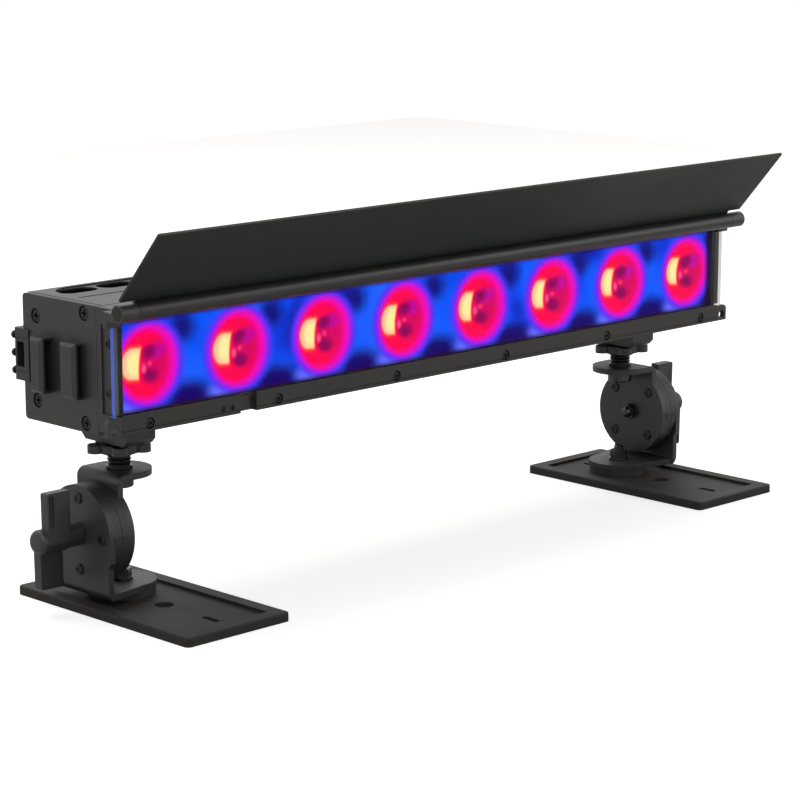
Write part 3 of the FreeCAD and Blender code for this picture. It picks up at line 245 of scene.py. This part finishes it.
def glow_patch(tree, point, below, colour, centre, reach, soft, flat=1.0, turn=0.0):
    """Lays an oval of one colour over another; flat above 1 cuts its right side straight."""
    oval = put(tree, "ShaderNodeMapping", {
        "Vector": point, "Location": (centre[0] * MM, centre[1] * MM, 0),
        "Rotation": (0, 0, math.radians(turn)), "Scale": (reach[0] * MM, reach[1] * MM, 1)},
        vector_type="TEXTURE")
    split = put(tree, "ShaderNodeSeparateXYZ", {0: oval})
    if flat > 1:
        left = put(tree, "ShaderNodeMath", {0: split.outputs["X"], 1: 0.0}, operation="MINIMUM")
        round_side = put(tree, "ShaderNodeCombineXYZ", {"X": left, "Y": split.outputs["Y"]})
        far = put(tree, "ShaderNodeVectorMath", {0: round_side}, operation="LENGTH")
        straight = put(tree, "ShaderNodeMath", {0: split.outputs["X"], 1: flat},
                       operation="MULTIPLY")
        edge = put(tree, "ShaderNodeMath", {0: far.outputs["Value"], 1: straight},
                   operation="MAXIMUM")
    else:
        far = put(tree, "ShaderNodeVectorMath", {0: oval}, operation="LENGTH")
        edge = far.outputs["Value"]
    mask = put(tree, "ShaderNodeMapRange", {
        "Value": edge, "From Min": 1 - soft, "From Max": 1 + soft, "To Min": 1.0, "To Max": 0.0},
        interpolation_type="SMOOTHSTEP")
    return put(tree, "ShaderNodeMix", {"Factor": mask, 6: below, 7: linear(colour)},
               data_type="RGBA").outputs[2]


def lit_cells():
    """Moulded optics lit from behind: red discs in a blue field, each with a warm lamp image."""
    material, tree, shader = new_finish(
        "lit_cells", Base_Color=linear("#050005"), Roughness=0.5, Specular_IOR_Level=0.0,
        Emission_Strength=1.0)
    own = put(tree, "ShaderNodeTexCoord")
    drift = put(tree, "ShaderNodeTexNoise", {
        "Vector": own.outputs["Object"], "Scale": 1 / (38 * MM), "Detail": 1.0})
    field = put(tree, "ShaderNodeValToRGB", {"Fac": drift}, stops=(
        (0.28, "#10007A"), (0.4, "#0038E0"), (0.52, "#0058FF"), (0.72, "#1C60FF")))
    point = cell_point(tree)
    colour = field.outputs[0]
    patches = (
        # The shade between cells at the top and the bottom of the window.
        ("#08107E", (24, 17), (8, 8), 0.7), ("#08107E", (-38.5, 17), (8, 8), 0.7),
        ("#10006A", (27, -22), (16, 9), 0.6), ("#10006A", (-35.5, -22), (16, 9), 0.6),
        # The disc, from the violet haze around it to its red middle.
        ("#6A70FF", (-11, -21), (9, 5), 0.7), ("#3A34F0", (0, 0), (25.6, 25), 0.12),
        ("#8A20F0", (0, 0), (23.4, 23.2), 0.09), ("#F000B8", (0.5, 0), (20.6, 21), 0.1),
        ("#FF004C", (-1.2, 0), (17.6, 18.6), 0.14),
        # Petals of shade and a deeper side to the right of the lamp image.
        ("#D80060", (7, 0), (9, 11), 0.5), ("#C8009C", (9.5, 6), (4.5, 4), 0.6),
        ("#8C0058", (3, 6), (4.8, 3.6), 0.6), ("#8C0058", (3.5, -7), (5.2, 3.4), 0.6),
        ("#FF4C84", (-1, -2.6), (1.8, 2.2), 0.6), ("#FF3070", (4, -0.6), (1.5, 1.3), 0.6),
    )
    for tint, centre, reach, soft in patches:
        colour = glow_patch(tree, point, colour, tint, centre, reach, soft)
    colour = glow_patch(tree, point, colour, "#FF4438", (-11.2, 1.4), (7.8, 9.8), 0.14, 1.15, -6)
    colour = glow_patch(tree, point, colour, "#FFC09C", (-11.2, 1.4), (6.8, 8.4), 0.12, 1.15, -6)
    colour = glow_patch(tree, point, colour, "#FFF0A0", (-9.4, 1.2), (5.2, 6.6), 0.4, 1.3, -6)
    # Painted shade: each cell's glow darkens towards its top and bottom edges.
    split = put(tree, "ShaderNodeSeparateXYZ", {0: point})
    rise = put(tree, "ShaderNodeMath", {0: split.outputs["Y"]}, operation="ABSOLUTE")
    rim_shade = put(tree, "ShaderNodeMapRange", {
        "Value": rise, "From Min": 22 * MM, "From Max": 24.8 * MM, "To Max": 0.9})
    shaded = put(tree, "ShaderNodeMix", {"Factor": rim_shade, 6: colour, 7: linear("#2A0010")},
                 data_type="RGBA")
    # Painted shade: past the last lamp image, the cells fade almost to black towards the right
    # end.
    whole = put(tree, "ShaderNodeSeparateXYZ", {0: own.outputs["Object"]})
    far_end_shade = put(tree, "ShaderNodeMapRange", {
        "Value": whole.outputs["X"], "From Min": HALF_LENGTH - 12 * MM,
        "From Max": HALF_LENGTH - 8 * MM, "To Max": 0.93})
    ended = put(tree, "ShaderNodeMix", {
        "Factor": far_end_shade, 6: shaded.outputs[2], 7: linear("#14000E")}, data_type="RGBA")
    tree.links.new(ended.outputs[2], shader.inputs["Emission Color"])
    return material


def clear_window_glass():
    """Coated sheet glass: clear, with trapped light let out at its left end."""
    material, tree, shader = new_finish(
        "clear_window_glass", Base_Color=linear("#FFFFFF"), Roughness=0.0, IOR=1.12,
        Transmission_Weight=1.0, Emission_Color=linear("#1848E0"))
    own = put(tree, "ShaderNodeTexCoord")
    split = put(tree, "ShaderNodeSeparateXYZ", {0: own.outputs["Object"]})
    ends = put(tree, "ShaderNodeMapRange", {
        "Value": split.outputs["X"], "From Min": -HALF_LENGTH - 2.6 * MM,
        "From Max": -HALF_LENGTH - 2.1 * MM, "To Min": 0.45, "To Max": 0.0})
    tree.links.new(ends.outputs[0], shader.inputs["Emission Strength"])
    return material


def led_dome():
    """Silicone dome over a light source: bright and warm in the middle."""
    material, tree, shader = new_finish("led_dome", Roughness=0.2, IOR=1.41,
                                        Emission_Strength=1.4)
    colour = glow_patch(tree, cell_point(tree), linear("#FF9A50"), "#FFF0B8",
                        (0, 0), (2.4, 2.4), 0.5)
    tree.links.new(colour, shader.inputs["Emission Color"])
    return material


finishes = {
    "anodised_black": anodised_extrusion(), "coated_black": powder_coated_steel(),
    "flap_coating": coated_flap_sheet(), "plate_coating": coated_floor_plate(),
    "black_steel": blackened_steel(), "black_screws": blackened_screw(),
    "disc_plastic": moulded_disc_plastic(), "knob_plastic": moulded_knob_plastic(),
    "black_plastic": moulded_socket_plastic(), "lamp_optics": lit_cells(),
    "window_glass": clear_window_glass(), "seal_rubber": foam_seal(),
    "board_green": circuit_board(), "emitters": led_dome(),
    "supply_case": folded_supply_case(), "panel_film": printed_panel_film(),
}


def dress_cad_nodes():
    """Gives every carried-over node the finish of its slot."""
    for part in frame["record"]["subparts"]:
        node = nodes[part["node"]]
        node.data.materials.clear()
        node.data.materials.append(finishes[part["material_slot"]])


# ---------------------------------------------------------------- grown pieces

def new_rule(name, **inputs):
    """An empty geometry rule with named inputs; returns its tree and its input node."""
    kinds = {int: "NodeSocketInt", float: "NodeSocketFloat", tuple: "NodeSocketVector",
             bpy.types.Material: "NodeSocketMaterial"}
    tree = bpy.data.node_groups.new(name, "GeometryNodeTree")
    tree.interface.new_socket("Geometry", in_out="OUTPUT", socket_type="NodeSocketGeometry")
    for label, kind in inputs.items():
        tree.interface.new_socket(label, in_out="INPUT", socket_type=kinds[kind])
    return tree, put(tree, "NodeGroupInput").outputs


def end_rule(tree, given, shape):
    """Makes the rule's instances real, gives them their finish and puts them out."""
    real = put(tree, "GeometryNodeRealizeInstances", {0: shape})
    dressed = put(tree, "GeometryNodeSetMaterial", {
        "Geometry": real, "Material": given["Finish"]})
    put(tree, "NodeGroupOutput", {0: dressed})


def grow(name, body, rule, **values):
    """One plain mesh from a rule and its named inputs, riding on a body."""
    piece = bpy.data.objects.new(name, bpy.data.meshes.new(name))
    bpy.context.scene.collection.objects.link(piece)
    modifier = piece.modifiers.new("rule", "NODES")
    modifier.node_group = rule
    for item in rule.interface.items_tree:
        if item.in_out == "INPUT":
            modifier[item.identifier] = values[item.name]
    bpy.context.view_layer.update()
    seen = piece.evaluated_get(bpy.context.evaluated_depsgraph_get())
    mesh = bpy.data.meshes.new_from_object(seen)
    piece.modifiers.clear()
    piece.data = mesh
    mesh.name = name
    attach(piece, body)
    return piece


def cell_rule():
    """A slab with a row of shallow round bowls in its front."""
    tree, given = new_rule("cell_bowls", Middle=tuple, Size=tuple, Half=float, Pitch=float,
                           Columns=int, Rows=int, Bowl=float, Sink=float,
                           Finish=bpy.types.Material)
    block = put(tree, "GeometryNodeMeshCube", {
        "Size": given["Size"], "Vertices X": given["Columns"], "Vertices Y": 2,
        "Vertices Z": given["Rows"]})
    spot = put(tree, "ShaderNodeSeparateXYZ", {0: put(tree, "GeometryNodeInputPosition")})
    shifted = put(tree, "ShaderNodeMath", {0: spot.outputs["X"], 1: given["Half"]},
                  operation="ADD")
    wrapped = put(tree, "ShaderNodeMath", {0: shifted, 1: given["Pitch"]},
                  operation="FLOORED_MODULO")
    half = put(tree, "ShaderNodeMath", {0: given["Pitch"], 1: 0.5}, operation="MULTIPLY")
    across = put(tree, "ShaderNodeMath", {0: wrapped, 1: half}, operation="SUBTRACT")
    flat = put(tree, "ShaderNodeCombineXYZ", {"X": across, "Y": spot.outputs["Z"]})
    far = put(tree, "ShaderNodeVectorMath", {0: flat}, operation="LENGTH")
    sunk = put(tree, "ShaderNodeMapRange", {
        "Value": far.outputs["Value"], "From Min": 0.0, "From Max": given["Bowl"],
        "To Min": given["Sink"], "To Max": 0.0}, interpolation_type="SMOOTHSTEP")
    front = put(tree, "FunctionNodeCompare", {0: spot.outputs["Y"], 1: 0.0},
                data_type="FLOAT", operation="LESS_THAN")
    move = put(tree, "ShaderNodeCombineXYZ", {"Y": sunk})
    bowls = put(tree, "GeometryNodeSetPosition", {
        "Geometry": block, "Selection": front, "Offset": move})
    placed = put(tree, "GeometryNodeTransform", {
        "Geometry": bowls, "Translation": given["Middle"]})
    end_rule(tree, given, placed)
    return tree


def make_cell_optics():
    """The moulded optics in the window, a shallow bowl to each cell."""
    low, high = (Vector(corner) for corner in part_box("reflector_tray"))
    piece = grow("cell_optics", "head", cell_rule(), Middle=(low + high) / 2, Size=high - low,
                 Half=HALF_LENGTH, Pitch=CELL_PITCH, Columns=401, Rows=43, Bowl=24 * MM,
                 Sink=4 * MM, Finish=finishes["lamp_optics"])
    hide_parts("reflector_tray")


def ridge_rule():
    """A row of double-cone rings, as the turns of a thread or the ridges of a grip."""
    tree, given = new_rule("ridge_row", Start=tuple, Step=tuple, Turn=tuple, Count=int,
                           Crest=float, Root=float, Height=float, Finish=bpy.types.Material)
    lower = put(tree, "GeometryNodeMeshCone", {
        "Vertices": 48, "Radius Bottom": given["Root"], "Radius Top": given["Crest"],
        "Depth": given["Height"]})
    upper = put(tree, "GeometryNodeMeshCone", {
        "Vertices": 48, "Radius Bottom": given["Crest"], "Radius Top": given["Root"],
        "Depth": given["Height"]})
    lift = put(tree, "ShaderNodeCombineXYZ", {"Z": given["Height"]})
    raised = put(tree, "GeometryNodeTransform", {"Geometry": upper, "Translation": lift})
    ring = put(tree, "GeometryNodeMergeByDistance", {
        "Geometry": put(tree, "GeometryNodeJoinGeometry", {0: [lower, raised]}),
        "Distance": 0.01 * MM})
    row = put(tree, "GeometryNodeMeshLine", {
        "Count": given["Count"], "Start Location": given["Start"], "Offset": given["Step"]},
        mode="OFFSET")
    rings = put(tree, "GeometryNodeInstanceOnPoints", {
        "Points": row, "Instance": ring, "Rotation": given["Turn"]})
    end_rule(tree, given, rings)
    return tree


def lathe(name, body, material, axis_place, profile, turns=64):
    """A closed solid turned about a vertical axis from (radius, height) points, bottom up."""
    shape = bmesh.new()
    rings = []
    for radius, height in profile:
        rings.append([shape.verts.new((
            axis_place[0] + radius * math.cos(2 * math.pi * step / turns),
            axis_place[1] + radius * math.sin(2 * math.pi * step / turns), height))
            for step in range(turns)])
    for below, above in zip(rings, rings[1:]):
        for step in range(turns):
            following = (step + 1) % turns
            shape.faces.new((below[step], below[following], above[following], above[step]))
    shape.faces.new(rings[0][::-1])
    shape.faces.new(rings[-1])
    return finished(name, body, material, shape)


def finished(name, body, material, shape):
    """Turns a bmesh into a piece that rides on a body, its normals outwards."""
    bmesh.ops.recalc_face_normals(shape, faces=shape.faces)
    mesh = bpy.data.meshes.new(name)
    shape.to_mesh(mesh)
    shape.free()
    mesh.materials.append(material)
    piece = bpy.data.objects.new(name, mesh)
    bpy.context.scene.collection.objects.link(piece)
    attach(piece, body)
    return piece


def slab(shape, low, high, soften=0.0):
    """Adds a block between two corners to a bmesh, its edges softened."""
    made = bmesh.ops.create_cube(shape, size=1.0)["verts"]
    middle = (Vector(low) + Vector(high)) / 2
    size = Vector(high) - Vector(low)
    bmesh.ops.transform(shape, matrix=Matrix.LocRotScale(middle, None, size), verts=made)
    if soften:
        edges = {edge for vert in made for edge in vert.link_edges}
        bmesh.ops.bevel(shape, geom=list(edges), offset=soften, segments=2, affect="EDGES")


THREAD_PITCH = 2.0 * MM
STUD_CREST = 6.9 * MM
STUD_ROOT = 6.1 * MM
COLLAR_RADIUS = 7.4 * MM
COLLAR_HEIGHT = 1.6 * MM
NUT_RADIUS = 7.9 * MM
# From the strap's top down to the nut that hangs under it.
NUT_UNDER_STRAP = 3.6 * MM


def make_studs(ridges):
    """Threaded studs with their collar, and the round nut under the bracket."""
    steel = finishes["black_steel"]
    for side in SIDES:
        low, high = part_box("stud_" + side)
        strap_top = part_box("upper_bracket_" + side)[1][2]
        collar_top = strap_top + COLLAR_HEIGHT
        nut_top = strap_top - NUT_UNDER_STRAP
        nut_low = low[2] + 0.5 * MM
        centre = box_middle("stud_" + side)
        body = "upper_" + side
        pieces = [
            lathe("stud_core_" + side, body, steel, centre, (
                (STUD_ROOT - 0.8 * MM, low[2]), (STUD_ROOT, low[2] + 0.6 * MM),
                (STUD_ROOT, high[2] - 0.6 * MM), (STUD_ROOT - 0.8 * MM, high[2]))),
            lathe("stud_collar_" + side, body, steel, centre, (
                (COLLAR_RADIUS - 0.3 * MM, strap_top), (COLLAR_RADIUS, strap_top + 0.3 * MM),
                (COLLAR_RADIUS, collar_top - 0.3 * MM), (COLLAR_RADIUS - 0.4 * MM, collar_top))),
            lathe("stud_nut_" + side, body, steel, centre, (
                (NUT_RADIUS - 0.6 * MM, nut_low), (NUT_RADIUS, nut_low + 0.6 * MM),
                (NUT_RADIUS, nut_top - 0.5 * MM), (NUT_RADIUS - 0.4 * MM, nut_top))),
            grow("stud_thread_" + side, body, ridges,
                 Start=(centre.x, centre.y, collar_top + THREAD_PITCH / 4),
                 Step=(0, 0, THREAD_PITCH), Turn=(0, 0, 0),
                 Count=int((high[2] - strap_top - 2 * MM) / THREAD_PITCH),
                 Crest=STUD_CREST, Root=STUD_ROOT - 0.05 * MM, Height=THREAD_PITCH / 2,
                 Finish=steel),
        ]
        for piece in pieces:
            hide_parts("stud_" + side)


def make_barrel_threads(ridges):
    """Turns of thread on the four plug barrels at the back."""
    for name in ("power_inlet", "power_outlet", "data_inlet", "data_outlet"):
        barrel_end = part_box(name)[1][1]
        centre = box_middle(name)
        radius = (9.6 if "power" in name else 7.4) * MM
        piece = grow(name + "_thread", "head", ridges,
                     Start=(centre.x, barrel_end - 8.4 * MM, centre.z), Step=(0, 1.3 * MM, 0),
                     Turn=(math.radians(-90), 0, 0), Count=5, Crest=radius + 0.35 * MM,
                     Root=radius - 0.3 * MM, Height=0.55 * MM, Finish=finishes["black_plastic"])


def make_glass_print():
    """An enamel strip behind the left end of the glass, and a dark strip of painted shade behind
    the right end.
    """
    low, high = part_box("front_glass")
    beyond, within = 2.3 * MM, 1.7 * MM
    front, back = high[1] + 0.01 * MM, high[1] + 0.07 * MM
    edges = (("left", -HALF_LENGTH - beyond, -HALF_LENGTH + within, ceramic_glass_print()),
             ("right", HALF_LENGTH - within, HALF_LENGTH + beyond, glass_end_shade_strip()))
    for side, start, end, print_and_shade in edges:
        shape = bmesh.new()
        slab(shape, (start, front, low[2] + 1.6 * MM), (end, back, high[2] - 3.2 * MM))
        piece = finished("glass_print_and_shade_" + side, "head", print_and_shade, shape)


def make_end_seals():
    """Thin rubber edge between each end plate and the housing."""
    low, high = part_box("end_plate_left")
    proud, half = 0.12 * MM, 0.22 * MM
    plate_thickness = 4 * MM
    shape = bmesh.new()
    for seam in (plate_thickness - HALF_LENGTH, HALF_LENGTH - plate_thickness):
        slab(shape, (seam - half, low[1] + 0.5 * MM, high[2] - 0.4 * MM),
             (seam + half, high[1] - 2.6 * MM, high[2] + proud))
        slab(shape, (seam - half, high[1] - 0.4 * MM, low[2] + 2.6 * MM),
             (seam + half, high[1] + proud, high[2] - 2.6 * MM))
    piece = finished("end_seals", "head", finishes["seal_rubber"], shape)


def make_knob_ridges():
    """Pairs of grip ridges beside the outer edge of each knob arm, on both of its flanks."""
    arm_start, arm_end = 8.5 * MM, 26.2 * MM
    arm_shift, arm_half = 4 * MM, 3 * MM
    outer_face = 266 * MM
    half_ridge = 0.45 * MM
    for side, sign in (("left", -1), ("right", 1)):
        centre = box_middle("tilt_knob_" + side)
        shape = bmesh.new()
        for up in (-1, 1):
            rise = sorted((centre.z + up * arm_start, centre.z + up * arm_end))
            for flank in (-1, 1):
                face = centre.y + sign * up * arm_shift + flank * arm_half
                proud = sorted((face - flank * 0.3 * MM, face + flank * 0.45 * MM))
                for inset in (2.2 * MM, 3.9 * MM):
                    across = sorted((sign * (outer_face - inset - half_ridge),
                                     sign * (outer_face - inset + half_ridge)))
                    slab(shape, (across[0], proud[0], rise[0]),
                         (across[1], proud[1], rise[1]), soften=0.25 * MM)
        piece = finished("knob_ridges_" + side, "knob_" + side, finishes["knob_plastic"], shape)


def make_link_studs():
    """Three round-headed studs down the edge of the link bracket."""
    low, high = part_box("link_bracket")
    from_edge, sunk = 2.4 * MM, 2.6 * MM
    for number, height in enumerate((4.6 * MM, 14.5 * MM, 24.4 * MM), start=1):
        piece = lathe("link_stud_%d" % number, "head", finishes["black_steel"], (0, 0), (
            (1.5 * MM, 0.0), (1.5 * MM, 1.2 * MM), (2.3 * MM, 1.3 * MM), (2.3 * MM, 2.6 * MM),
            (1.9 * MM, 3.4 * MM), (1.0 * MM, 3.8 * MM)), turns=32)
        turn = Matrix.Rotation(math.radians(-90), 4, "X")
        place = Vector((low[0] + from_edge, high[1] - sunk, low[2] + height))
        piece.data.transform(Matrix.Translation(place) @ turn)


def make_cover_screws():
    """Two button-head screws in the lower bar's countersinks."""
    bar_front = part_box("bottom_frame_bar_left")[0][1]
    sunk, screw_high = 1.05 * MM, 110.4 * MM
    for number, across in enumerate((72.2 * MM, 78.7 * MM), start=1):
        piece = lathe("cover_screw_%d" % number, "head", finishes["black_screws"], (0, 0), (
            (1.45 * MM, 0.0), (1.45 * MM, 0.5 * MM), (1.2 * MM, 0.8 * MM),
            (0.75 * MM, 0.9 * MM), (0.65 * MM, 0.35 * MM)), turns=24)
        turn = Matrix.Rotation(math.radians(90), 4, "X")
        place = Vector((across - HALF_LENGTH, bar_front + sunk, screw_high))
        piece.data.transform(Matrix.Translation(place) @ turn)


# ---------------------------------------------------------------- studio

def light_panel(name, place, target, size, power, tint="#FFFFFF"):
    """A soft box that faces its target."""
    lamp = bpy.data.lights.new(name, "AREA")
    lamp.shape = "RECTANGLE"
    lamp.size, lamp.size_y = size
    lamp.energy = power
    lamp.color = linear(tint)[:3]
    holder = bpy.data.objects.new(name, lamp)
    bpy.context.scene.collection.objects.link(holder)
    holder.location = place
    aim = Vector(target) - Vector(place)
    holder.rotation_euler = aim.to_track_quat("-Z", "Y").to_euler()


def white_world():
    """A world that the camera, glass and polish see as white, and the rest as soft light."""
    world = bpy.data.worlds.new("studio")
    bpy.context.scene.world = world
    world.use_nodes = True
    tree = world.node_tree
    tree.nodes.clear()
    rays = put(tree, "ShaderNodeLightPath")
    soft = put(tree, "ShaderNodeBackground", {"Color": linear("#FFFFFF"), "Strength": 0.19})
    white = put(tree, "ShaderNodeBackground", {"Color": linear("#FFFFFF"), "Strength": 1.0})
    through = put(tree, "ShaderNodeMath", {
        0: rays.outputs["Is Camera Ray"], 1: rays.outputs["Is Transmission Ray"]},
        operation="MAXIMUM")
    seen = put(tree, "ShaderNodeMath", {0: through, 1: rays.outputs["Is Glossy Ray"]},
               operation="MAXIMUM")
    both = put(tree, "ShaderNodeMixShader", {0: seen, 1: soft, 2: white})
    put(tree, "ShaderNodeOutputWorld", {"Surface": both})


def paper_floor():
    """Seamless white paper that keeps the washer's shadow."""
    mesh = bpy.data.meshes.new("floor")
    reach = 1.8
    corners = [(-reach, -reach, 0), (reach, -reach, 0), (reach, reach, 0), (-reach, reach, 0)]
    mesh.from_pydata(corners, [], [(0, 1, 2, 3)])
    floor = bpy.data.objects.new("floor", mesh)
    bpy.context.scene.collection.objects.link(floor)
    material = bpy.data.materials.new("seamless_paper")
    material.use_nodes = True
    tree = material.node_tree
    tree.nodes.clear()
    paper = put(tree, "ShaderNodeBsdfDiffuse", {"Color": linear("#F4F4F4")})
    glow = put(tree, "ShaderNodeEmission", {"Color": linear("#FFFFFF"), "Strength": 0.62})
    rays = put(tree, "ShaderNodeLightPath")
    lifted = put(tree, "ShaderNodeAddShader", {0: paper, 1: glow})
    both = put(tree, "ShaderNodeMixShader", {
        0: rays.outputs["Is Camera Ray"], 1: paper, 2: lifted})
    put(tree, "ShaderNodeOutputMaterial", {"Surface": both})
    mesh.materials.append(material)


def light_studio():
    """Key light from the left front, a warm one overhead and a weak one from the right."""
    middle = (0, 0, 0.1)
    light_panel("key_panel", (-1.6, -1.2, 1.8), middle, (1.6, 1.2), 15)
    light_panel("top_panel", (0.2, 0.6, 2.0), middle, (2.4, 1.6), 26, "#FFF6EF")
    light_panel("side_panel", (1.8, -1.4, 0.9), middle, (1.0, 1.4), 6)


def stand_camera():
    """Camera at the photograph's angle, about 1.6 m away."""
    camera = bpy.data.cameras.new("camera")
    camera.lens = 121.9
    camera.sensor_width = 36
    holder = bpy.data.objects.new("camera", camera)
    bpy.context.scene.collection.objects.link(holder)
    holder.location = (-1.1252, -1.1246, 0.4161)
    holder.rotation_euler = (math.radians(90 - 11.72), math.radians(0.04), math.radians(-44.55))
    bpy.context.scene.camera = holder


dress_cad_nodes()
ring_rule = ridge_rule()
make_cell_optics()
make_studs(ring_rule)
make_barrel_threads(ring_rule)
make_glass_print()
make_end_seals()
make_knob_ridges()
make_link_studs()
make_cover_screws()
white_world()
paper_floor()
light_studio()
stand_camera()
bpy.context.scene.view_settings.view_transform = "Standard"
